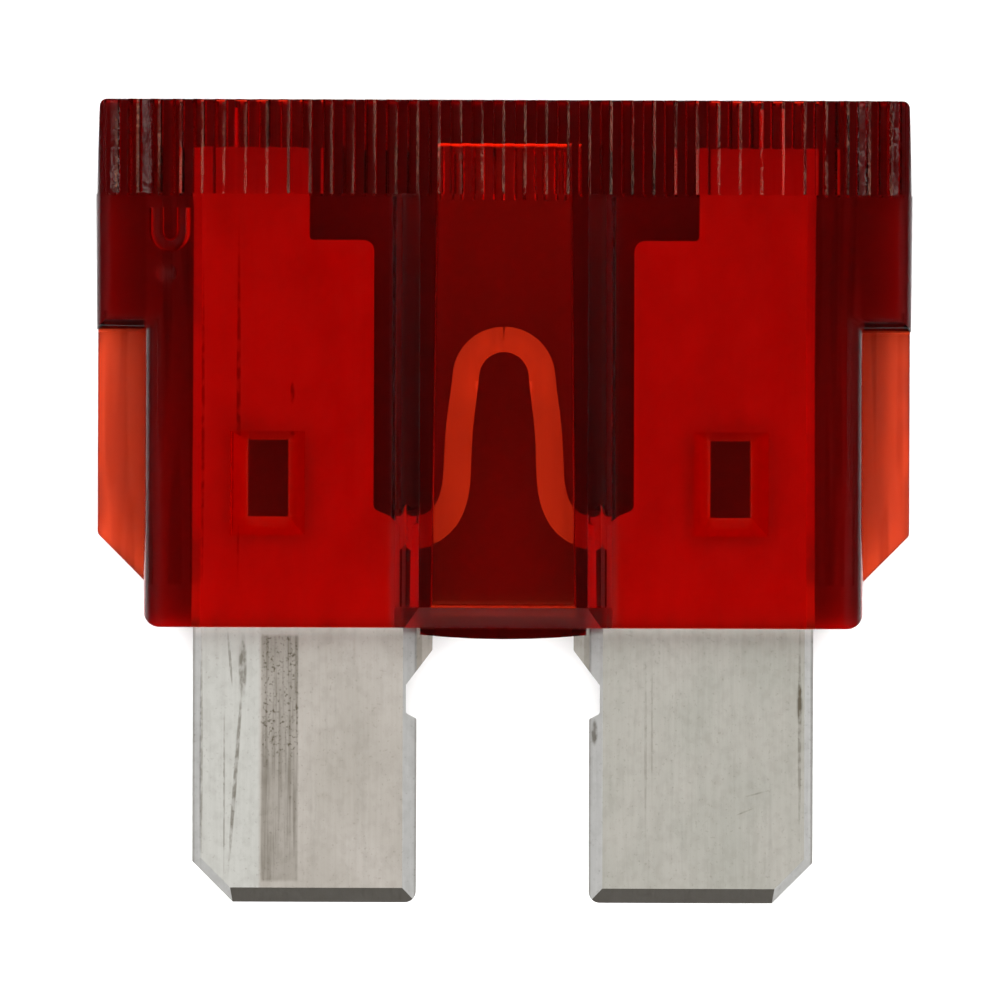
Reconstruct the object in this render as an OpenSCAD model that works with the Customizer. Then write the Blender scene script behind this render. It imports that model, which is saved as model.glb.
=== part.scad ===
// Regular automotive blade fuse: a translucent moulded housing around a one-piece stamped element.
// The fuse lies on its back. X is its width, +Y runs from the blade tips to the head, +Z is up.
// Inside the modules Y is 0 at the seat, the housing's underside, and Z is 0 in the strip's mid plane.

/* [Blades] */
// Width of one blade
blade_w = 5.25; // [4.8:0.05:5.6]
// Clear gap between the two blades
blade_gap = 4.05; // [4.0:0.05:4.6]
// Thickness of the stamped strip
blade_t = 0.65; // [0.5:0.05:0.8]
// Length of blade below the seat
blade_reach = 6.45; // [5.8:0.01:8]
// Corner cut off the outer side of each tip
tip_cut = 0.95; // [0.5:0.05:1.5]
// Radius of the inner corner of each tip
tip_round = 0.26; // [0.1:0.02:0.5]
// Thickness left at the coined edges
edge_t = 0.3; // [0.2:0.05:0.4]
// Width of the coined bevel along the inner edge
inner_bevel = 0.32; // [0.15:0.01:0.45]
// Width of the coined bevel along the outer edge and the cut corner
outer_bevel = 0.2; // [0.1:0.01:0.35]
// Width of the coined bevel across the tip
tip_bevel = 0.34; // [0.15:0.01:0.45]

/* [Trimmed tie bar] */
// Reach of the tie bar's stub inwards from the blade's inner edge
stub_w = 0.37; // [0.2:0.01:0.38]
// Distance from the seat down to where the stub is trimmed
stub_drop = 0.53; // [0.3:0.01:0.8]
// Length of the slanted tear from the stub into the trimming notch
tear_h = 0.82; // [0.4:0.02:1.2]
// Depth of the trimming notch in the blade's inner edge
notch_w = 0.25; // [0.1:0.01:0.4]
// Length of the notch below the tear
notch_h = 0.67; // [0.3:0.01:1]

/* [Upper element] */
// Step from the blade's inner edge out to the narrow neck above the link
neck_step = 1.01; // [0.7:0.01:1.3]
// Height of the neck's lower end above the seat
neck_y = 2.42; // [2.3:0.02:2.8]
// Height of the blade's upper edge above the seat
crest_y = 9.07; // [8.4:0.05:9.6]
// Width of the test tab above the upper edge
tab_w = 2.72; // [2.2:0.02:3]
// Height of the test tab
tab_h = 2.15; // [1.8:0.05:2.4]
// Radius of the neck's upper corner
crest_round = 0.25; // [0.1:0.01:0.4]

/* [Fuse link] */
// Height of the arch's crown above the seat
link_y = 7.06; // [6.4:0.02:8]
// Radius of the arch to the middle of the link
link_r = 0.9; // [0.8:0.01:0.96]
// Width of the link at the crown
link_w = 0.59; // [0.4:0.01:0.7]
// Extra width of the link where it meets the blade
foot_flare = 0.24; // [0:0.01:0.3]
// Height of the middle of the link's foot above the seat
foot_y = 2.24; // [2.0:0.02:2.5]
// Thickness of the link
link_t = 0.34; // [0.2:0.01:0.45]
// Width of the coined bevel round the inside of the arch
arch_bevel = 0.22; // [0.05:0.01:0.3]

/* [Body] */
// Height of the housing from the seat to the underside of the head
body_h = 10.13; // [9.8:0.05:11.5]
// Thickness of the body over the blades
body_t = 3.7; // [3.2:0.05:4.2]
// Wall between a blade's outer edge and the side of the body
end_wall = 1.085; // [0.8:0.005:1.4]
// Clearance between the element and the housing
fit = 0.05; // [0.03:0.01:0.08]
// Clearance beside the neck of the element
neck_gap = 0.36; // [0.1:0.01:0.5]
// Radius of the body's lower corners
body_corner = 0.37; // [0.2:0.01:0.6]
// Radius of the body's upright edges
body_edge = 0.45; // [0.2:0.05:0.7]
// Narrowing of the body from the seat to the shoulder, on each side
body_draft = 0.05; // [0:0.01:0.1]

/* [Window box] */
// Width of the box's front face
box_w = 3.94; // [3.7:0.02:4.4]
// Thickness of the box
box_t = 4.9; // [4.6:0.05:5.0]
// Width of each sloping side of the box
box_slope = 0.47; // [0.3:0.01:0.6]
// Radius of the fillet at the foot of the sloping side
box_fillet = 0.55; // [0.1:0.05:0.7]
// Width of the fuse chamber at its foot
chamber_w = 3.38; // [3.2:0.02:3.5]
// Narrowing of the chamber towards its roof, on each side
chamber_draft = 0.12; // [0:0.01:0.2]
// Thickness of the window in front of the chamber
window_t = 0.7; // [0.6:0.05:1.3]
// Solid height between the chamber and the top of the head
chamber_roof = 1.01; // [0.8:0.01:1.6]

/* [Pressed seal] */
// Height of the pressed lip that closes the chamber
lip_h = 0.47; // [0.35:0.01:0.6]
// Depth to which the lip slopes in from the window's face
lip_in = 0.42; // [0.2:0.02:0.6]
// Depth of the seal's bulge below the seat
bulge_y = 0.26; // [0.15:0.01:0.4]
// Rise of the bulge from its middle to its ends
bulge_arc = 0.1; // [0.05:0.01:0.14]
// Depth to which the bulge slopes in from the lip
bulge_in = 0.2; // [0.1:0.01:0.5]

/* [Shoulder and fins] */
// Reach of the shoulder beyond the side of the body
fin_w = 1.14; // [0.8:0.02:1.5]
// Height of the shoulder
shoulder_h = 3.18; // [2.5:0.02:4]
// Radius of the shoulder's upright and lower edges
shoulder_edge = 0.36; // [0.15:0.01:0.5]
// Narrowing of the shoulder from top to bottom, on each side
shoulder_draft = 0.04; // [0:0.01:0.15]
// Thickness of the fins
fin_t = 1.1; // [0.8:0.05:1.4]
// Height of the fin's cut corner above the seat, where it meets the body
fin_y = 1.08; // [0.6:0.02:2]

/* [Head] */
// Height of the head
head_h = 2.2; // [2:0.02:3]
// Thickness of the head over its ribs
head_t = 5.1; // [5.02:0.02:5.6]
// Step in from the shoulder to the head, on each side
head_step = 0.04; // [0:0.01:0.08]
// Narrowing of the head towards its top, on each side
head_draft = 0.06; // [0:0.01:0.12]
// Radius of the head's upper corners
head_corner = 0.18; // [0.1:0.01:0.4]
// Radius along the top edges of the head
head_edge = 0.06; // [0.04:0.01:0.2]
// Distance from one rib to the next
rib_pitch = 0.502; // [0.44:0.002:0.7]
// Width of a rib at its crest
rib_w = 0.22; // [0.1:0.01:0.24]
// Width of a rib's sloping flank
rib_flank = 0.065; // [0.04:0.005:0.1]
// Height of a rib
rib_h = 0.06; // [0.04:0.01:0.12]
// Offset of the middle rib from the middle of the head
rib_shift = 0.12; // [-0.25:0.01:0.25]

/* [Stakes and test openings] */
// Width of the window punched through each blade
punch_w = 0.95; // [0.7:0.01:1.2]
// Height of the window punched through each blade
punch_h = 1.8; // [1.4:0.02:2.2]
// Distance from the blade's outer edge to the middle of its window
punch_in = 1.86; // [1.5:0.01:2.2]
// Height of the middle of the window above the seat
punch_y = 3.49; // [3:0.01:4.5]
// Offset of both windows and their stakes, to the same side
stake_shift = -0.1; // [-0.15:0.01:0.15]
// Slope of a stake's pit on each side
pit_side = 0.4; // [0.2:0.01:0.5]
// Slope of a stake's pit at its upper end
pit_top = 0.2; // [0.1:0.01:0.5]
// Slope of a stake's pit at its lower end
pit_foot = 0.44; // [0.1:0.01:0.5]
// Depth of a stake's pit
pit_depth = 0.7; // [0.3:0.05:1.1]
// Width of a test opening in the top of the head
probe_w = 2.3; // [1.8:0.05:2.5]
// Thickness of a test opening
probe_t = 1.5; // [1:0.05:2]

/* [Gate mark] */
// Distance from the side of the body in to the middle of the gate's mark
gate_in = 0.6; // [0.4:0.01:0.8]
// Distance from the underside of the head down to the end of the mark's curve
gate_drop = 1.36; // [1.2:0.01:1.6]
// Radius of the mark's curve, to the middle of its groove
gate_r = 0.31; // [0.25:0.01:0.4]
// Radius of the groove's round section
groove_r = 0.17; // [0.08:0.01:0.22]
// Length of the groove's straight sides
groove_h = 0.55; // [0.3:0.01:0.7]
// Radius of the dimple below the mark
dimple_r = 0.25; // [0.1:0.01:0.35]
// Depth of the dimple
dimple_d = 0.09; // [0.03:0.01:0.15]

/* [Hidden] */
RED = [0.72, 0.05, 0.03, 0.8];
ZINC = [0.75, 0.74, 0.71];
ARC_STEPS = 8;
LINK_STEPS = 10;
PAST = 1;                                        // how far a cut runs past the solid it cuts
SLICE = 0.01;                                    // thickness of a slice that a hull joins

blade_in = blade_gap / 2;                        // inner edge of a blade
blade_out = blade_in + blade_w;                  // outer edge of a blade
stub_x = blade_in - stub_w;
neck_x = blade_in + neck_step;
neck_rise = 0.35;                                // height of the slant at the neck's lower end
arch_y = link_y - link_w / 2 - link_r;           // centre of the link's arch
tab_x = blade_out - tab_w;
tab_y = crest_y + tab_h;
punch_x = blade_out - punch_in;
slot_t = blade_t + 2 * fit;

body_x = blade_out + fit + end_wall;             // side of the body at the seat
shoulder_x = body_x + fin_w;
shoulder_y = body_h - shoulder_h;
head_x = shoulder_x - head_step;
top_y = body_h + head_h;
overall_h = top_y + blade_reach;
chamber_top = top_y - chamber_roof;
chamber_t = box_t - 2 * window_t;
chamber_corner = 0.06;                           // radius of the chamber's upright corners
chamber_end = 0.1;                               // radius of the corners at the chamber's ends
box_foot = box_w / 2 + box_slope;                // where a sloping side meets the body's face
seal_x = box_w / 2 - 0.03;                       // end of the bulge

function unit(v) = v / norm(v);
function flat(corner) = [corner[0], corner[1]];

// Points along the arc of the given radius that rounds one corner [x, y, radius] of an outline.
function corner_arc(before, corner, after) =
    let (
        a = unit(flat(before) - flat(corner)),
        b = unit(flat(after) - flat(corner)),
        r = corner[2],
        half = acos(a * b) / 2,
        centre = flat(corner) + unit(a + b) * r / sin(half),
        from = flat(corner) + a * r / tan(half) - centre,
        to = flat(corner) + b * r / tan(half) - centre,
        start = atan2(from[1], from[0]),
        sweep = (atan2(to[1], to[0]) - start + 900) % 360 - 180
    )
    [for (i = [0 : ARC_STEPS]) centre + r * [cos(start + sweep * i / ARC_STEPS), sin(start + sweep * i / ARC_STEPS)]];

// Closed outline through corners [x, y, radius], with a radius of 0 for a sharp one.
function rounded(corners) =
    let (n = len(corners))
    [for (i = [0 : n - 1])
        each corners[i][2] > 0
            ? corner_arc(corners[(i + n - 1) % n], corners[i], corners[(i + 1) % n])
            : [flat(corners[i])]];

// The same corners on both sides of the axis x = 0, as one closed outline.
function both_halves(corners) =
    concat(corners, [for (i = [len(corners) - 1 : -1 : 0]) [-corners[i][0], corners[i][1], corners[i][2]]]);

function bezier(p, t) =
    p[0] * pow(1 - t, 3) + 3 * p[1] * t * pow(1 - t, 2) + 3 * p[2] * pow(t, 2) * (1 - t) + p[3] * pow(t, 3);

// Solid of an outline drawn from the front, in X and Y.
module front_view(t) {
    translate([0, 0, -t / 2]) linear_extrude(t) children();
}

// Solid of an outline drawn from above, in X and Z, between two heights.
module plan_view(y0, y1) {
    translate([0, y1, 0]) rotate([90, 0, 0]) linear_extrude(y1 - y0) children();
}

// Solid of an outline drawn from the side, in Y and Z.
module side_view(w) {
    translate([-w / 2, 0, 0]) rotate([90, 0, 90]) linear_extrude(w) children();
}

module left_and_right() {
    children();
    mirror([1, 0, 0]) children();
}

module front_and_back() {
    children();
    mirror([0, 0, 1]) children();
}

module at_stakes() {
    for (side = [-1, 1])
        translate([side * punch_x + stake_shift, punch_y, 0]) children();
}

// Lays the fuse on its back, centred on the origin.
module lying() {
    translate([0, overall_h / 2 - top_y, head_t / 2]) children();
}

// ---------------------------------------------------------------- fuse element

// Outline of the right-hand blade, from its tip up to the test tab.
module blade_outline() {
    polygon(rounded([
        [blade_in, -blade_reach, tip_round],
        [blade_out - tip_cut, -blade_reach, 0],
        [blade_out, tip_cut - blade_reach, 0],
        [blade_out, tab_y, 0],
        [tab_x, tab_y, 0],
        [tab_x, crest_y, 0.1],
        [neck_x, crest_y, crest_round],
        [neck_x, neck_y + neck_rise, 0.15],
        [blade_in, neck_y - 0.05, 0],
        [blade_in, stub_drop, 0],
        [stub_x, stub_drop - stub_w, 0.08],
        [stub_x, -stub_drop, 0.08],
        [blade_in + notch_w, -stub_drop - tear_h, 0],
        [blade_in + notch_w, -stub_drop - tear_h - notch_h, 0.08],
        [blade_in, -stub_drop - tear_h - notch_h - notch_w / 2, 0.05]
    ]));
}

// Wedge that coins the strip's front face along the edge between two points, outline on its left.
module coin(p, q, w) {
    run = q - p;
    translate([p[0], p[1], 0])
    rotate([0, 0, atan2(run[1], run[0])])
    translate([-PAST, 0, 0])
    rotate([90, 0, 90])
    linear_extrude(norm(run) + 2 * PAST)
    polygon([[-PAST, edge_t / 2], [0, edge_t / 2], [w, blade_t / 2], [w, blade_t], [-PAST, blade_t]]);
}

module blade() {
    cut_low = [blade_out - tip_cut, -blade_reach];
    cut_high = [blade_out, tip_cut - blade_reach];
    difference() {
        front_view(blade_t) blade_outline();
        front_and_back() {
            coin([blade_in, -blade_reach], cut_low, tip_bevel);
            coin(cut_low, cut_high, outer_bevel);
            coin(cut_high, [blade_out, tab_y], outer_bevel);
            coin([blade_in, neck_y - PAST], [blade_in, -blade_reach], inner_bevel);
        }
    }
}

// Middle line of the link's right half: a quarter of the arch, then a leg that sweeps out to the blade.
function link_path() =
    let (
        knee = [link_r + 0.19, foot_y + 1.5],
        foot = [blade_in + 0.25, foot_y - 0.04]
    )
    concat(
        [for (i = [0 : LINK_STEPS]) [0, arch_y] + link_r * [sin(90 * i / LINK_STEPS), cos(90 * i / LINK_STEPS)]],
        [for (i = [1 : LINK_STEPS])
            bezier([[link_r, arch_y], [link_r + 0.1, arch_y - 0.9], knee + [-0.02, 1], knee], i / LINK_STEPS)],
        [for (i = [1 : LINK_STEPS])
            bezier([knee, knee + [0.02, -1], [blade_in - 0.6, foot[1]], foot], i / LINK_STEPS)]
    );

function link_half_width(i, n) = (link_w + 0.04 * sin(180 * i / n) + foot_flare * pow(i / n, 6)) / 2;

// Direction of a path at its point i, taken across its neighbours.
function heading(path, i) = unit(path[min(i + 1, len(path) - 1)] - path[max(i - 1, 0)]);

module link_outline() {
    path = link_path();
    last = len(path) - 1;
    function edge(i, side) =
        let (along = heading(path, i))
        path[i] + side * link_half_width(i, last) * [-along[1], along[0]];
    left_and_right()
    polygon(concat(
        [for (i = [0 : last]) edge(i, 1)],
        [for (i = [last : -1 : 0]) edge(i, -1)]
    ));
}

// Cone that coins the front face of the link round the inside of its arch.
module arch_coin() {
    inner_r = link_r - link_w / 2;
    depth = link_t / 4;
    translate([0, arch_y, link_t / 2 - depth])
    cylinder(h = 2 * depth, r1 = inner_r, r2 = inner_r + 2 * arch_bevel, $fn = 4 * LINK_STEPS);
}

module fuse_element() {
    color(ZINC)
    lying() {
        difference() {
            left_and_right() blade();
            at_stakes() cube([punch_w, punch_h, 2 * blade_t], center = true);
        }
        difference() {
            front_view(link_t) link_outline();
            front_and_back() arch_coin();
        }
    }
}

// ---------------------------------------------------------------- housing

// Core and ribs of the head, seen from above.
module head_section() {
    core = head_t - 2 * rib_h;
    foot = rib_w / 2 + rib_flank;
    count = floor((head_x - abs(rib_shift) - rib_w) / rib_pitch);
    polygon(rounded(both_halves([[head_x, core / 2, 0.25], [head_x, -core / 2, 0.25]])));
    for (i = [-count : count], side = [-1, 1])
        translate([rib_shift + i * rib_pitch, side * core / 2])
        scale([1, side])
        polygon([[-foot, -rib_h], [foot, -rib_h], [foot, 0], [rib_w / 2, rib_h], [-rib_w / 2, rib_h], [-foot, 0]]);
}

module head() {
    intersection() {
        plan_view(body_h, top_y) head_section();
        front_view(head_t + PAST)
            polygon(rounded(both_halves([
                [head_x, body_h, 0],
                [head_x - head_draft, top_y, head_corner]
            ])));
        side_view(2 * shoulder_x)
            polygon(rounded([
                [body_h, -head_t / 2, 0],
                [top_y, -head_t / 2, head_edge],
                [top_y, head_t / 2, head_edge],
                [body_h, head_t / 2, 0]
            ]));
    }
}

// Slab between two heights that narrows from x0 to x1 on each side, with rounded upright edges.
module slab(y0, y1, x0, x1, t, upright, corner) {
    intersection() {
        plan_view(y0, y1)
            polygon(rounded(both_halves([[max(x0, x1), t / 2, upright], [max(x0, x1), -t / 2, upright]])));
        front_view(t + PAST) polygon(rounded(both_halves([[x0, y0, corner], [x1, y1, 0]])));
    }
}

// The body runs up into the head, which is thicker and wider.
module body() {
    root_y = body_h + head_h / 2;
    slab(0, root_y, body_x, body_x - body_draft * root_y / shoulder_y, body_t, body_edge, body_corner);
}

module shoulder() {
    intersection() {
        slab(shoulder_y, body_h, shoulder_x - shoulder_draft, shoulder_x, body_t, shoulder_edge, 0);
        side_view(2 * shoulder_x + PAST)
            polygon(rounded([
                [shoulder_y, -body_t / 2, shoulder_edge],
                [body_h, -body_t / 2, 0],
                [body_h, body_t / 2, 0],
                [shoulder_y, body_t / 2, shoulder_edge]
            ]));
    }
}

module fins() {
    tip_x = shoulder_x - shoulder_draft;
    front_view(fin_t)
        left_and_right()
        polygon(rounded([
            [body_x - end_wall / 2, fin_y - end_wall / 2, 0],
            [tip_x, fin_y + tip_x - body_x, 0.15],
            [tip_x, shoulder_y + shoulder_edge, 0],
            [body_x - end_wall / 2, shoulder_y + shoulder_edge, 0]
        ]));
}

// Raised box round the fuse chamber, closed at its foot by the pressed lip and bulge.
module window_box() {
    bulge_r = (pow(seal_x, 2) + pow(bulge_arc, 2)) / (2 * bulge_arc);
    lip_z = box_t / 2 - lip_in;
    intersection() {
        plan_view(-bulge_y, body_h)
            polygon(rounded(both_halves([
                [box_w / 2, box_t / 2, 0.08],
                [box_foot, body_t / 2, box_fillet],
                [box_foot + PAST, body_t / 2, 0],
                [box_foot + PAST, -body_t / 2, 0],
                [box_foot, -body_t / 2, box_fillet],
                [box_w / 2, -box_t / 2, 0.08]
            ])));
        side_view(2 * body_x)
            polygon([
                [body_h, -box_t / 2], [lip_h, -box_t / 2], [0, -lip_z], [-bulge_y, -lip_z + bulge_in],
                [-bulge_y, lip_z - bulge_in], [0, lip_z], [lip_h, box_t / 2], [body_h, box_t / 2]
            ]);
        front_view(box_t + PAST)
            union() {
                translate([-box_foot - PAST, 0]) square([2 * (box_foot + PAST), body_h]);
                intersection() {
                    translate([-seal_x, -bulge_y]) square([2 * seal_x, body_h]);
                    translate([0, bulge_r - bulge_y]) circle(bulge_r, $fn = 360);
                }
            }
    }
}

// Thin slice of the chamber, from above.
module chamber_slice(y0, half) {
    plan_view(y0, y0 + SLICE)
        polygon(rounded(both_halves([
            [half, chamber_t / 2, chamber_corner],
            [half, -chamber_t / 2, chamber_corner]
        ])));
}

module chamber() {
    intersection() {
        hull() {
            chamber_slice(lip_h, chamber_w / 2);
            chamber_slice(chamber_top - SLICE, chamber_w / 2 - chamber_draft);
        }
        side_view(chamber_w + PAST)
            polygon(rounded([
                [lip_h, -chamber_t / 2, chamber_end],
                [chamber_top, -chamber_t / 2, chamber_end],
                [chamber_top, chamber_t / 2, chamber_end],
                [lip_h, chamber_t / 2, chamber_end]
            ]));
    }
}

// Slot that one blade, its foot and its test tab are pushed up into.
module blade_slot() {
    front_view(slot_t)
    polygon(rounded([
        [stub_x - fit, -bulge_y - PAST, 0],
        [blade_out + fit, -bulge_y - PAST, 0],
        [blade_out + fit, tab_y + fit, 0],
        [tab_x - fit, tab_y + fit, 0],
        [tab_x - fit, crest_y + fit, 0.05],
        [neck_x - neck_gap, crest_y + fit, crest_round + fit],
        [neck_x - neck_gap, neck_y + neck_rise + 2 * fit, 0.15],
        [blade_in - fit, foot_y + (link_w + foot_flare) / 2 + 2 * fit, 0],
        [chamber_w / 2 - fit, foot_y + (link_w + foot_flare) / 2 + 0.25, 0],
        [chamber_w / 2 - fit, lip_h, 0],
        [stub_x - fit, lip_h - fit, 0]
    ]));
}

// The plastic that the staking punch pushes into a blade's window.
module stake_plug() {
    cube([punch_w - 2 * fit, punch_h - 2 * fit, 2 * slot_t], center = true);
}

// Pyramid-shaped pit that the staking punch leaves in the front face.
module stake_pit() {
    floor_z = body_t / 2 - pit_depth;
    widen = 1 + PAST / pit_depth;
    function flanks(half, low, high) = [
        [-half, floor_z], [half, floor_z],
        [half + high * widen, body_t / 2 + PAST], [-half - low * widen, body_t / 2 + PAST]
    ];
    intersection() {
        plan_view(-punch_h - pit_foot, punch_h + pit_top) polygon(flanks(punch_w / 2, pit_side, pit_side));
        side_view(2 * (punch_w + pit_side)) polygon(flanks(punch_h / 2, pit_foot, pit_top));
    }
}

module test_opening() {
    translate([blade_out - tab_w / 2 - probe_w / 2, tab_y, -probe_t / 2])
        cube([probe_w, top_y - tab_y + PAST, probe_t]);
}

// U-shaped groove round the gate's vestige in one shoulder, and the dimple below it.
module gate_mark() {
    dimple_ball = (pow(dimple_r, 2) + pow(dimple_d, 2)) / (2 * dimple_d);
    translate([-body_x + gate_in, body_h - gate_drop + gate_r + groove_r, body_t / 2]) {
        rotate([0, 0, 180]) rotate_extrude(angle = 180, $fn = 32) translate([gate_r, 0]) circle(groove_r, $fn = 16);
        left_and_right() translate([gate_r, groove_h, 0]) rotate([90, 0, 0]) cylinder(r = groove_r, h = groove_h, $fn = 16);
    }
    translate([-body_x + gate_in - groove_r / 2, body_h - gate_drop - 2 * dimple_r, body_t / 2 - dimple_d + dimple_ball])
        sphere(dimple_ball, $fn = 96);
}

module housing() {
    color(RED)
    lying()
    difference() {
        union() {
            head();
            body();
            shoulder();
            fins();
            window_box();
        }
        chamber();
        difference() {
            left_and_right() blade_slot();
            at_stakes() stake_plug();
        }
        left_and_right() test_opening();
        at_stakes() front_and_back() stake_pit();
        gate_mark();
    }
}

housing();
fuse_element();
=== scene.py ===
"""Automotive blade fuse on a pale studio floor, seen from straight above as it lies on its back."""

import math

import bpy
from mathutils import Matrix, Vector


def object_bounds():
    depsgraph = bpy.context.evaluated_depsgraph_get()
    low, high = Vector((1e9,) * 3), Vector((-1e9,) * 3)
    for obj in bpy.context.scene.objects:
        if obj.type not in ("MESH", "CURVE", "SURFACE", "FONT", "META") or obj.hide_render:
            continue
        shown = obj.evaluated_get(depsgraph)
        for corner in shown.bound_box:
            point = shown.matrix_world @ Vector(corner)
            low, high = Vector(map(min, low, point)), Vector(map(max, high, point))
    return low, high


MM = 0.001

# Camera
FRAME_WIDTH = 23.464 * MM  # what the view spans at the strip's mid plane
CAMERA_ROLL = math.radians(0.19)  # the fuse lies slightly turned in the view
CAMERA_OFFSET = Vector((-0.082, 0.053, 0.0)) * MM  # and slightly off its middle
CAMERA_HEIGHT = 0.42  # above the middle of the fuse
SENSOR = 36.0  # its width, mm

# Floor
FLOOR_DROP = 0.01 * MM  # keeps the floor from touching the plastic optically
FLOOR_HALF = 2.0
FLOOR_GREY = 0.95
FLOOR_LAMP = 3.6  # strength of the lamp that burns the floor out to white
FLOOR_LAMP_ANGLE = math.radians(40.0)

# Studio: brightness of its white dome by the sine of the height above the horizon
SKY_BY_HEIGHT = ((0.0, 0.15), (0.30, 0.26), (0.60, 0.60), (0.85, 1.0), (0.984, 1.0), (0.992, 0.2))
SKY_PEAK = 1.85
DARK_SIDE = 0.15  # brightness left beyond the blade tips
DARK_SIDE_FADE = (-0.90, -0.60)  # Y of the direction over which it goes over to full brightness

# The fuse
SEAT_Y = -2.94 * MM  # underside of the housing
MIDDLE_Z = 2.55 * MM  # mid plane of the strip
SHARP_EDGE = 25.0  # degrees between two faces past which their edge stays sharp
WELD_DISTANCE = 0.0001 * MM

# Plastic
ABSORPTION = (260.0, 2500.0, 3700.0)  # of red, green and blue light, per metre
REFRACTION = 1.53
REFLECTION_TINT = (0.1, 0.1, 0.1, 1.0)
GLOSS = 0.035  # roughness of the clean surface
# Tints of the surface
UNTINTED = (1.0, 1.0, 1.0)
STREAKED = (0.60, 0.50, 0.50)
# Painted shade on the ends of the shoulders
SHOULDER_END_SHADE = (0.78, 0.76, 0.76)
# Scuffing, partly wear and partly a painted highlight on the ribs' flanks and the head's strips
SCUFF_AND_HIGHLIGHT = (0.58, 0.27, 0.17)
# Painted shade under the shoulders and on the seal
SHADE_UNDER_AND_SEAL = (0.05, 0.03, 0.03)

# Places on the housing in mm: sides from the middle of the fuse, heights above the seat. Over a FADE a mark
# goes from nothing to full, and over a SPAN it is full, with soft ends.
HEAD_FADE = (10.10, 10.16)
HEAD_SIDE_FADE = (9.32, 9.25)
SHOULDER_SPAN = (6.93, 10.1)
SHOULDER_SIDE_FADE = (8.30, 8.45)
UNDERSIDE_SPAN = (6.9, 7.4)
UNDERSIDE_SIDE_FADE = (8.36, 8.44)
FIN_FADE = (6.93, 6.88)
FIN_SIDE_FADE = (8.41, 8.43)
DRAG_SPAN = (1.0, 10.1)
DRAG_SIDE_FADE = (7.0, 7.7)
PIT_SPAN = (2.0, 5.0)
PIT_SIDE_SPAN = (4.3, 6.5)
LIP_SPAN = (0.0, 0.48)
LIP_SIDE_FADE = (2.44, 2.40)
SEAL_FADE = (0.0, -0.05)
SEAL_SIDE_FADE = (2.46, 2.40)
# Strips up the head that are rubbed dull and painted light as highlights: middle and half width
RUBBED_HIGHLIGHT_STRIPS = ((8.34, 0.1), (9.09, 0.1))
# Directions that marked surfaces face: X for flanks and pits, Y for undersides
FLANK_FACING_SPAN = (-0.97, -0.25)
PIT_FACING_FADE = (-0.2, -0.4)
UNDERSIDE_FACING_FADE = (-0.04, -0.3)

# Zinc: its colours, with a pair where they go from dull to bright
LEFT_BLADE = ((0.345, 0.318, 0.282), (0.395, 0.365, 0.33))
RIGHT_BLADE = ((0.325, 0.318, 0.282), (0.36, 0.345, 0.31))
OUTER_LEFT = (0.435, 0.43, 0.40)
# Painted highlight on the coined edges of the bare blades
COINED_HIGHLIGHT = (0.50, 0.495, 0.48)
# Painted shade on the tips
TIP_SHADE = (0.14, 0.13, 0.115)
CLEAN = ((0.60, 0.565, 0.52), (0.86, 0.82, 0.77))
LINK = (0.57, 0.53, 0.49)
# Painted highlight on the coined edges inside the housing
COINED_CLEAN_HIGHLIGHT = (0.93, 0.91, 0.88)
TARNISH = (0.10, 0.085, 0.062)
BRUSHING_DEPTH = 0.0025 * MM

# Places on the zinc in mm, as on the housing, but LEFT, RIGHT and STAIN_SIDE are in X itself, and FRONT is
# above the strip's mid plane.
BARE_FADE = (0.02, -0.05)
HOUSED_FADE = (-0.3, 0.3)
# Painted light on the metal inside the housing: near the seat, and at its left edge
SEAT_LIGHT_FADE = (3.0, 0.0)
LEFT_EDGE_LIGHT_FADE = (-6.4, -7.1)
OUTER_LEFT_FADE = (-5.65, -5.75)
RIGHT_FADE = (-0.5, 0.5)
LINK_SIDE_FADE = (1.9, 1.7)
FRONT_FADE = (0.05, 0.12)
RIM_SIDE_SPANS = ((1.9, 2.07), (7.22, 7.4))
# Stain down the left blade, and its upper part that is pitted
STAIN_SPAN = (-5.95, -0.2)
STAIN_SIDE_SPAN = (-5.66, -4.80)
PITTED_FADE = (-3.3, -2.8)
# Directions that coined edges face, in X, and tips, in Y
COINED_FACING_FADE = (0.25, 0.35)
TIP_FACING_FADE = (-0.25, -0.35)
# Dark lines on the front: middle in X and above the seat, half length and half width, degrees
# anticlockwise from lying along Y, and strength
BLADE_LINES = (
    ((-7.07, -3.1), (3.2, 0.05), 0.0, 0.5),
    ((-6.40, -0.75), (0.75, 0.04), 4.9, 0.5),
    ((-6.53, -3.9), (2.4, 0.03), 0.0, 0.4),
    ((-6.10, -0.9), (0.85, 0.12), 0.0, 0.65),
    ((-6.265, -3.5), (2.55, 0.06), -4.1, 0.65),
    ((-6.21, 5.2), (4.7, 0.06), 0.0, 0.6),
    ((-7.04, 4.6), (4.4, 0.05), 0.0, 0.5),
    ((-4.95, 5.5), (0.32, 0.06), 0.0, 0.6),
    ((6.96, -2.4), (2.9, 0.05), 0.0, 0.5),
    ((6.96, -1.75), (0.6, 0.09), 0.0, 0.5),
    ((5.94, -3.88), (0.3, 0.025), -75.0, 0.35),
    ((5.68, -4.3), (0.25, 0.025), -68.0, 0.35),
    ((3.35, -2.9), (2.3, 0.04), 0.0, 0.25),
    ((3.5, -2.4), (1.9, 0.03), 0.0, 0.25),
    ((2.15, -2.45), (0.35, 0.1), 0.0, 0.7),
)


def math_node(tree, operation, *values):
    """Math node on sockets or numbers, as its output socket."""
    node = tree.nodes.new("ShaderNodeMath")
    node.operation = operation
    for socket, value in zip(node.inputs, values):
        if isinstance(value, (int, float)):
            socket.default_value = value
        else:
            tree.links.new(value, socket)
    return node.outputs[0]


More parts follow.
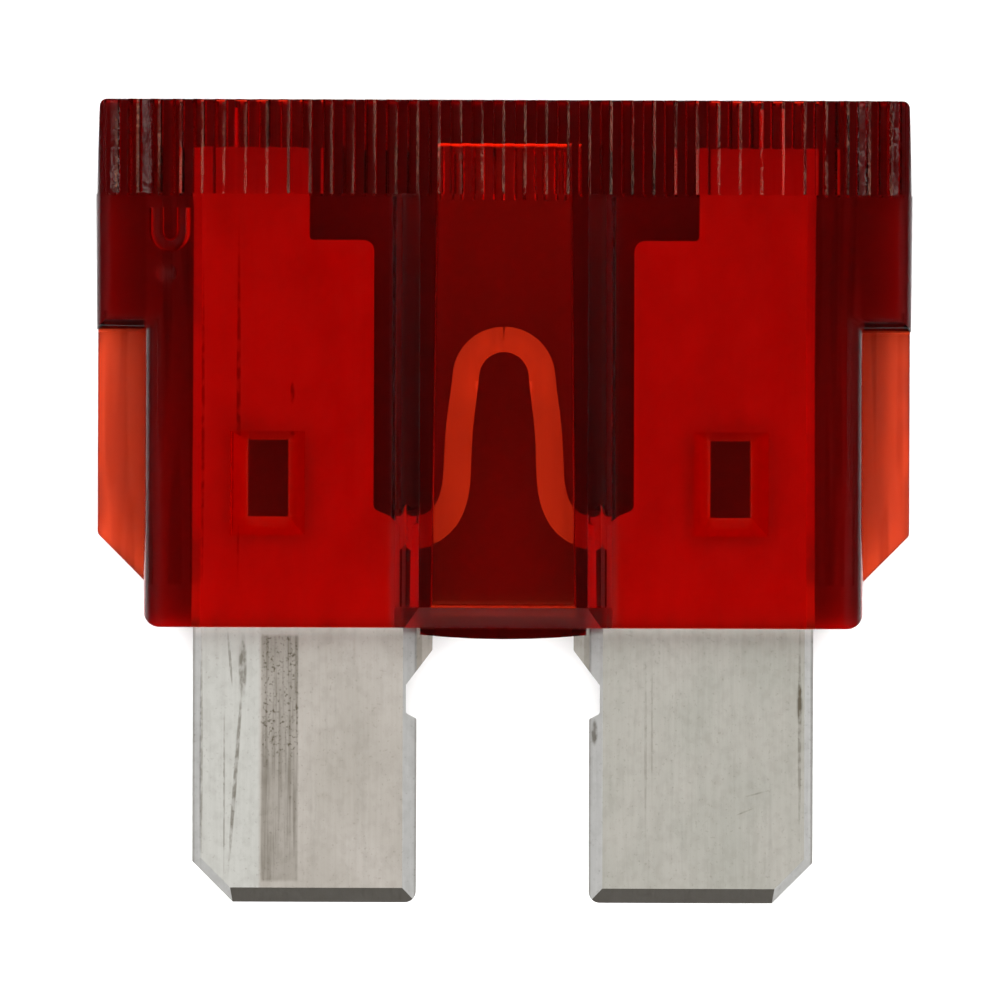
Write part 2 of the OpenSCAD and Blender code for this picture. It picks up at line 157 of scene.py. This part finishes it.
def range_node(tree, value, low, high, to_low=0.0, to_high=1.0, linear=False):
    """Smooth or linear step of a socket from one value to another."""
    node = tree.nodes.new("ShaderNodeMapRange")
    node.interpolation_type = "LINEAR" if linear else "SMOOTHSTEP"
    tree.links.new(value, node.inputs["Value"])
    node.inputs["From Min"].default_value = low
    node.inputs["From Max"].default_value = high
    node.inputs["To Min"].default_value = to_low
    node.inputs["To Max"].default_value = to_high
    return node.outputs[0]


def product(tree, *values):
    """Product of sockets and numbers."""
    result = values[0]
    for value in values[1:]:
        result = math_node(tree, "MULTIPLY", result, value)
    return result


def total(tree, *values):
    """Sum of sockets and numbers, held between 0 and 1."""
    result = values[0]
    for value in values[1:]:
        result = math_node(tree, "ADD", result, value)
    return range_node(tree, result, 0.0, 1.0, linear=True)


def band_node(tree, value, low, high, soft=0.05):
    """1 between two values and 0 beyond them, with soft ends."""
    past_low = range_node(tree, value, low - soft, low + soft)
    short_of_high = range_node(tree, value, high + soft, high - soft)
    return product(tree, past_low, short_of_high)


def ramp_node(tree, value, stops):
    """Grey level that a socket sets, through the given positions and levels."""
    ramp = tree.nodes.new("ShaderNodeValToRGB")
    tree.links.new(value, ramp.inputs[0])
    elements = ramp.color_ramp.elements
    for element, (position, _) in zip(elements, (stops[0], stops[-1])):
        element.position = position
    for position, _ in stops[1:-1]:
        elements.new(position)
    for element, (_, level) in zip(elements, stops):
        element.color = (level, level, level, 1)
    return ramp.outputs[0]


def mix_color(tree, factor, first, second):
    """Mix of two colours, each a socket or a tuple, by a socket."""
    node = tree.nodes.new("ShaderNodeMix")
    node.data_type = "RGBA"
    tree.links.new(factor, node.inputs["Factor"])
    for socket, color in (("A", first), ("B", second)):
        if isinstance(color, tuple):
            node.inputs[socket].default_value = color + (1.0,)
        else:
            tree.links.new(color, node.inputs[socket])
    return node.outputs["Result"]


def noise_node(tree, place, per_mm, detail=0.0):
    """Noise with the given number of grains per millimetre along each axis."""
    stretch = tree.nodes.new("ShaderNodeVectorMath")
    stretch.operation = "MULTIPLY"
    tree.links.new(place, stretch.inputs[0])
    stretch.inputs[1].default_value = per_mm
    noise = tree.nodes.new("ShaderNodeTexNoise")
    tree.links.new(stretch.outputs[0], noise.inputs["Vector"])
    noise.inputs["Scale"].default_value = 1.0
    noise.inputs["Detail"].default_value = detail
    return noise.outputs[0]


def mark_node(tree, x, y, middle, half, turn):
    """Elliptical mark with half its length and width, turned in degrees anticlockwise from lying along Y."""
    join = tree.nodes.new("ShaderNodeCombineXYZ")
    tree.links.new(x, join.inputs[0])
    tree.links.new(y, join.inputs[1])
    local = tree.nodes.new("ShaderNodeMapping")
    local.vector_type = "TEXTURE"
    tree.links.new(join.outputs[0], local.inputs["Vector"])
    local.inputs["Location"].default_value = (middle[0], middle[1], 0.0)
    local.inputs["Rotation"].default_value = (0.0, 0.0, math.radians(turn))
    local.inputs["Scale"].default_value = (half[1], half[0], 1.0)
    away = tree.nodes.new("ShaderNodeVectorMath")
    away.operation = "LENGTH"
    tree.links.new(local.outputs[0], away.inputs[0])
    return range_node(tree, away.outputs["Value"], 1.0, 0.5)


def place_in_mm(tree):
    """Place from the middle of the fuse, the seat and the strip's mid plane, mm: as a vector, X, Y and Z."""
    place = tree.nodes.new("ShaderNodeTexCoord")
    move = tree.nodes.new("ShaderNodeVectorMath")
    move.operation = "MULTIPLY_ADD"
    tree.links.new(place.outputs["Object"], move.inputs[0])
    move.inputs[1].default_value = (1 / MM, 1 / MM, 1 / MM)
    move.inputs[2].default_value = (0.0, -SEAT_Y / MM, -MIDDLE_Z / MM)
    split = tree.nodes.new("ShaderNodeSeparateXYZ")
    tree.links.new(move.outputs[0], split.inputs[0])
    return move.outputs[0], split.outputs["X"], split.outputs["Y"], split.outputs["Z"]


def facing(tree):
    """X and Y of the direction that the surface faces."""
    split = tree.nodes.new("ShaderNodeSeparateXYZ")
    tree.links.new(tree.nodes.new("ShaderNodeTexCoord").outputs["Normal"], split.inputs[0])
    return split.outputs["X"], split.outputs["Y"]


def new_material(name):
    """A material, its node tree, its surface shader and its output, which takes the shader."""
    material = bpy.data.materials.new(name)
    material.use_nodes = True
    tree = material.node_tree
    tree.nodes.clear()
    surface = tree.nodes.new("ShaderNodeBsdfPrincipled")
    out = tree.nodes.new("ShaderNodeOutputMaterial")
    tree.links.new(surface.outputs["BSDF"], out.inputs["Surface"])
    return material, tree, surface, out


def plastic_wear_and_highlight(tree, place, side, y, blotches):
    """Scuffed grains, partly wear and partly painted highlight, on the left flanks of the ribs and in strips
    up the head.
    """
    facing_x, _ = facing(tree)
    head = product(tree, range_node(tree, y, *HEAD_FADE), range_node(tree, side, *HEAD_SIDE_FADE))
    worn_and_lit = [band_node(tree, facing_x, *FLANK_FACING_SPAN)]
    for middle, half in RUBBED_HIGHLIGHT_STRIPS:
        strip = band_node(tree, side, middle - half, middle + half, 0.03)
        worn_and_lit.append(product(tree, strip, 0.35))
    fine = noise_node(tree, place, (34.0, 20.0, 34.0))
    grains = range_node(tree, math_node(tree, "MULTIPLY_ADD", blotches, 0.4, fine), 0.70, 0.92)
    return product(tree, head, total(tree, *worn_and_lit), grains, 0.65)


def plastic_tint_and_shade(tree, place, side, y, fins, blotches):
    """Tint of the surface: drag lines from the mould, darker pit slopes, and painted shade on the shoulders'
    ends, under the shoulders and on the seal.
    """
    facing_x, facing_y = facing(tree)
    # Drag lines run up the outer parts, and the fins are blotchy.
    outer = product(tree, range_node(tree, side, *DRAG_SIDE_FADE), band_node(tree, y, *DRAG_SPAN))
    drag = noise_node(tree, place, (4.2, 0.18, 4.2))
    streaks = product(tree, outer, range_node(tree, drag, 0.5, 0.68))
    streaks = total(tree, streaks, product(tree, fins, range_node(tree, blotches, 0.4, 0.7), 0.2))
    # The right-hand slopes of the stakes' pits are darker.
    pits = product(
        tree,
        range_node(tree, facing_x, *PIT_FACING_FADE),
        band_node(tree, side, *PIT_SIDE_SPAN),
        band_node(tree, y, *PIT_SPAN),
        0.7,
    )
    # Painted shade darkens the ends of the shoulders, and a deeper painted shade lies under the shoulders and
    # on the seal.
    shade_on_ends = product(tree, range_node(tree, side, *SHOULDER_SIDE_FADE), band_node(tree, y, *SHOULDER_SPAN))
    shade_under = product(
        tree,
        range_node(tree, facing_y, *UNDERSIDE_FACING_FADE),
        range_node(tree, side, *UNDERSIDE_SIDE_FADE),
        band_node(tree, y, *UNDERSIDE_SPAN),
    )
    shade_on_seal = product(tree, range_node(tree, side, *SEAL_SIDE_FADE), range_node(tree, y, *SEAL_FADE), 0.85)
    tint = mix_color(tree, total(tree, streaks, pits), UNTINTED, STREAKED)
    # Painted shade on the shoulders' ends, under them and on the seal
    tint = mix_color(tree, shade_on_ends, tint, SHOULDER_END_SHADE)
    return mix_color(tree, total(tree, shade_under, shade_on_seal), tint, SHADE_UNDER_AND_SEAL)


def plastic_roughness(tree, side, y, fins, blotches):
    """Glossy, but duller on the pressed lip and on the fins."""
    lip = product(tree, range_node(tree, side, *LIP_SIDE_FADE), band_node(tree, y, *LIP_SPAN, 0.02))
    rough = math_node(tree, "MULTIPLY_ADD", lip, 0.4, GLOSS)
    return math_node(tree, "ADD", rough, product(tree, fins, range_node(tree, blotches, 0.3, 0.7, 0.3, 0.55)))


def plastic_material():
    """Clear plastic that turns light red in its depth, marked by moulding and handling, with painted shade
    and painted highlights.
    """
    material, tree, surface, out = new_material("red_translucent_plastic")
    place, x, y, _ = place_in_mm(tree)
    side = math_node(tree, "ABSOLUTE", x)
    fins = product(tree, range_node(tree, side, *FIN_SIDE_FADE), range_node(tree, y, *FIN_FADE))
    blotches = noise_node(tree, place, (2.5, 1.0, 2.5))
    wear_and_highlight = plastic_wear_and_highlight(tree, place, side, y, blotches)
    tint = plastic_tint_and_shade(tree, place, side, y, fins, blotches)
    # Scuffed grains, partly wear and partly painted highlight, lighten the surface and let less light through
    tint = mix_color(tree, total(tree, product(tree, wear_and_highlight, 2.5)), tint, SCUFF_AND_HIGHLIGHT)
    tree.links.new(tint, surface.inputs["Base Color"])
    tree.links.new(plastic_roughness(tree, side, y, fins, blotches), surface.inputs["Roughness"])
    clear = math_node(tree, "SUBTRACT", 1.0, product(tree, wear_and_highlight, 0.55))
    tree.links.new(clear, surface.inputs["Transmission Weight"])
    surface.inputs["IOR"].default_value = REFRACTION
    surface.inputs["Specular Tint"].default_value = REFLECTION_TINT
    inside = tree.nodes.new("ShaderNodeVolumeAbsorption")
    density = max(ABSORPTION)
    inside.inputs["Color"].default_value = tuple(1 - a / density for a in ABSORPTION) + (1.0,)
    inside.inputs["Density"].default_value = density
    tree.links.new(inside.outputs["Volume"], out.inputs["Volume"])
    return material


def zinc_stains(tree, place, x, y):
    """Brush marks, scratches, tarnish and darker rims of the strip, from 0 for clean metal to 1."""
    bare = range_node(tree, y, *BARE_FADE)
    side = math_node(tree, "ABSOLUTE", x)
    # Darker bands along the blades' rims
    rims = total(tree, *[band_node(tree, side, *span, 0.02) for span in RIM_SIDE_SPANS])
    stain = product(tree, band_node(tree, x, *STAIN_SIDE_SPAN, 0.03), band_node(tree, y, *STAIN_SPAN))
    pitted = product(tree, stain, range_node(tree, y, *PITTED_FADE))
    grain = noise_node(tree, place, (16.0, 14.0, 1.0), 3.0)
    brushed = range_node(tree, noise_node(tree, place, (13.0, 0.45, 1.0), 3.0), 0.35, 0.7)
    patches = range_node(tree, noise_node(tree, place, (5.0, 4.0, 1.0), 2.0), 0.4, 0.7)
    broken = range_node(tree, noise_node(tree, place, (9.0, 4.0, 1.0), 2.0), 0.35, 0.6, 0.35, 1.0)
    lines = [
        product(tree, mark_node(tree, x, y, middle, half, turn), broken, strength)
        for middle, half, turn, strength in BLADE_LINES
    ]
    return total(
        tree,
        product(tree, stain, range_node(tree, brushed, 0.0, 1.0, 0.30, 0.56)),
        product(tree, pitted, range_node(tree, grain, 0.52, 0.68), 0.38),
        product(tree, bare, brushed, 0.06),
        product(tree, bare, patches, 0.10),
        product(tree, bare, range_node(tree, grain, 0.6, 0.75), 0.22),
        product(tree, bare, rims, 0.35),
        *lines,
    )


def bare_zinc(tree, x, facing_y, coined_highlight, clouds):
    """Colour of the blades: dull and lighter at the outer left, with a painted highlight on the coined edges
    and painted shade on the tips.
    """
    color = mix_color(tree, clouds, *LEFT_BLADE)
    color = mix_color(tree, range_node(tree, x, *RIGHT_FADE), color, mix_color(tree, clouds, *RIGHT_BLADE))
    color = mix_color(tree, range_node(tree, x, *OUTER_LEFT_FADE), color, OUTER_LEFT)
    color = mix_color(tree, coined_highlight, color, COINED_HIGHLIGHT)
    # Painted shade on the tips, away from the coined edges
    tip_shade = product(tree, range_node(tree, facing_y, *TIP_FACING_FADE), range_node(tree, coined_highlight, 0.1, 0.0))
    return mix_color(tree, tip_shade, color, TIP_SHADE)


def clean_zinc(tree, x, y, clouds, brushing):
    """Colour of the metal inside the housing, with painted light that is brightest near the seat and at its
    left edge, and of the link.
    """
    tone_and_light = total(
        tree,
        product(tree, clouds, 0.35),
        product(tree, brushing, 0.3),
        # Painted light near the seat and at the left edge
        range_node(tree, y, *SEAT_LIGHT_FADE, 0.0, 0.35),
        range_node(tree, x, *LEFT_EDGE_LIGHT_FADE, 0.0, 0.25),
    )
    color = mix_color(tree, tone_and_light, *CLEAN)
    side = math_node(tree, "ABSOLUTE", x)
    return mix_color(tree, range_node(tree, side, *LINK_SIDE_FADE), color, LINK)


def zinc_material():
    """Bare blades dull from handling, and metal that is still clean inside the housing."""
    material, tree, surface, _ = new_material("zinc_strip")
    place, x, y, z = place_in_mm(tree)
    facing_x, facing_y = facing(tree)
    coined_highlight = range_node(tree, math_node(tree, "ABSOLUTE", facing_x), *COINED_FACING_FADE)
    housed = range_node(tree, y, *HOUSED_FADE)
    clouds = range_node(tree, noise_node(tree, place, (0.8, 0.5, 1.0), 3.0), 0.3, 0.7)
    brushing = noise_node(tree, place, (14.0, 0.5, 14.0), 2.0)
    bare = bare_zinc(tree, x, facing_y, coined_highlight, clouds)
    metal = mix_color(tree, housed, bare, clean_zinc(tree, x, y, clouds, brushing))
    # Painted highlight on the coined edges inside the housing
    metal = mix_color(tree, product(tree, housed, coined_highlight), metal, COINED_CLEAN_HIGHLIGHT)
    stains = product(tree, zinc_stains(tree, place, x, y), range_node(tree, z, *FRONT_FADE))
    tree.links.new(mix_color(tree, stains, metal, TARNISH), surface.inputs["Base Color"])
    surface.inputs["Metallic"].default_value = 1.0
    tree.links.new(range_node(tree, brushing, 0.25, 0.75, 0.36, 0.5), surface.inputs["Roughness"])
    bump = tree.nodes.new("ShaderNodeBump")
    bump.inputs["Distance"].default_value = BRUSHING_DEPTH
    tree.links.new(brushing, bump.inputs["Height"])
    tree.links.new(bump.outputs[0], surface.inputs["Normal"])
    return material


def paper_material():
    """Matt white paper."""
    material, _, surface, _ = new_material("floor_paper")
    surface.inputs["Base Color"].default_value = (FLOOR_GREY, FLOOR_GREY, FLOOR_GREY, 1.0)
    surface.inputs["Roughness"].default_value = 1.0
    surface.inputs["Specular IOR Level"].default_value = 0.0
    return material


def smooth_by_angle(obj, degrees):
    """Welds the imported mesh and shades it smooth, except across edges sharper than the angle."""
    mesh = obj.data
    for name in ("custom_normal", "sharp_edge"):
        if name in mesh.attributes:
            mesh.attributes.remove(mesh.attributes[name])
    mesh.polygons.foreach_set("use_smooth", [True] * len(mesh.polygons))
    weld = obj.modifiers.new("weld", "WELD")
    weld.merge_threshold = WELD_DISTANCE
    group = bpy.data.node_groups.new("smooth_by_angle", "GeometryNodeTree")
    group.interface.new_socket("Geometry", in_out="INPUT", socket_type="NodeSocketGeometry")
    group.interface.new_socket("Geometry", in_out="OUTPUT", socket_type="NodeSocketGeometry")
    come, leave = group.nodes.new("NodeGroupInput"), group.nodes.new("NodeGroupOutput")
    angle = group.nodes.new("GeometryNodeInputMeshEdgeAngle")
    compare = group.nodes.new("FunctionNodeCompare")
    compare.operation = "LESS_EQUAL"
    compare.inputs[1].default_value = math.radians(degrees)
    shade = group.nodes.new("GeometryNodeSetShadeSmooth")
    shade.domain = "EDGE"
    group.links.new(angle.outputs["Unsigned Angle"], compare.inputs[0])
    group.links.new(come.outputs[0], shade.inputs["Geometry"])
    group.links.new(compare.outputs["Result"], shade.inputs["Shade Smooth"])
    group.links.new(shade.outputs["Geometry"], leave.inputs[0])
    obj.modifiers.new("smooth_by_angle", "NODES").node_group = group


def make_camera(middle):
    """Camera that looks straight down on the middle of the fuse."""
    data = bpy.data.cameras.new("camera")
    data.sensor_width = SENSOR
    data.lens = SENSOR * CAMERA_HEIGHT / FRAME_WIDTH
    camera = bpy.data.objects.new("camera", data)
    camera.location = middle + CAMERA_OFFSET + Vector((0.0, 0.0, CAMERA_HEIGHT))
    camera.rotation_euler.z = CAMERA_ROLL
    bpy.context.scene.collection.objects.link(camera)
    bpy.context.scene.camera = camera


def make_floor():
    """White paper, with a broad lamp of its own overhead that burns it out to pure white."""
    stage = bpy.data.collections.new("stage")
    bpy.context.scene.collection.children.link(stage)
    mesh = bpy.data.meshes.new("floor")
    corners = [(FLOOR_HALF * x, FLOOR_HALF * y, 0.0) for x, y in ((-1, -1), (1, -1), (1, 1), (-1, 1))]
    mesh.from_pydata(corners, [], [(0, 1, 2, 3)])
    mesh.materials.append(paper_material())
    floor = bpy.data.objects.new("floor", mesh)
    floor.location.z = -FLOOR_DROP
    stage.objects.link(floor)
    lamp = bpy.data.lights.new("floor_lamp", "SUN")
    lamp.energy = FLOOR_LAMP
    lamp.angle = FLOOR_LAMP_ANGLE
    sun = bpy.data.objects.new("floor_lamp", lamp)
    bpy.context.scene.collection.objects.link(sun)
    sun.light_linking.receiver_collection = stage


def make_world():
    """Soft white studio: a dome of light, dimmer overhead, near the horizon and beyond the blade tips."""
    world = bpy.data.worlds.new("studio")
    bpy.context.scene.world = world
    world.use_nodes = True
    tree = world.node_tree
    tree.nodes.clear()
    place = tree.nodes.new("ShaderNodeTexCoord")
    split = tree.nodes.new("ShaderNodeSeparateXYZ")
    tree.links.new(place.outputs["Generated"], split.inputs[0])
    height = ramp_node(tree, split.outputs["Z"], SKY_BY_HEIGHT)
    side = range_node(tree, split.outputs["Y"], *DARK_SIDE_FADE, DARK_SIDE, 1.0)
    light = tree.nodes.new("ShaderNodeBackground")
    tree.links.new(product(tree, height, side), light.inputs["Color"])
    light.inputs["Strength"].default_value = SKY_PEAK
    out = tree.nodes.new("ShaderNodeOutputWorld")
    tree.links.new(light.outputs[0], out.inputs[0])
    world.cycles.sampling_method = "NONE"  # scattered rays find so broad a light soonest


def set_light_paths(cycles):
    """Follows light far enough to cross the ribs and the chamber, and spends no time on more."""
    cycles.use_light_tree = False
    cycles.adaptive_threshold = 0.05
    cycles.max_bounces = 10
    cycles.transmission_bounces = 8
    cycles.glossy_bounces = 4
    cycles.diffuse_bounces = 2


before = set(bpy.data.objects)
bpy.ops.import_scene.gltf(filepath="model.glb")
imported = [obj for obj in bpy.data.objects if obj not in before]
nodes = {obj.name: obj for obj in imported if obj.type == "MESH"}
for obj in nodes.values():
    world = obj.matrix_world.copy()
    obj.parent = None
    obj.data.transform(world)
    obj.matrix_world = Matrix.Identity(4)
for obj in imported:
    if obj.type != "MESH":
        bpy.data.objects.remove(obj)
cad_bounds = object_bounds()

for name, make_material in (("housing", plastic_material), ("fuse_element", zinc_material)):
    smooth_by_angle(nodes[name], SHARP_EDGE)
    nodes[name].data.materials.clear()
    nodes[name].data.materials.append(make_material())

make_camera((Vector(cad_bounds[0]) + Vector(cad_bounds[1])) / 2)
make_floor()
make_world()
bpy.context.scene.view_settings.view_transform = "Standard"
set_light_paths(bpy.context.scene.cycles)
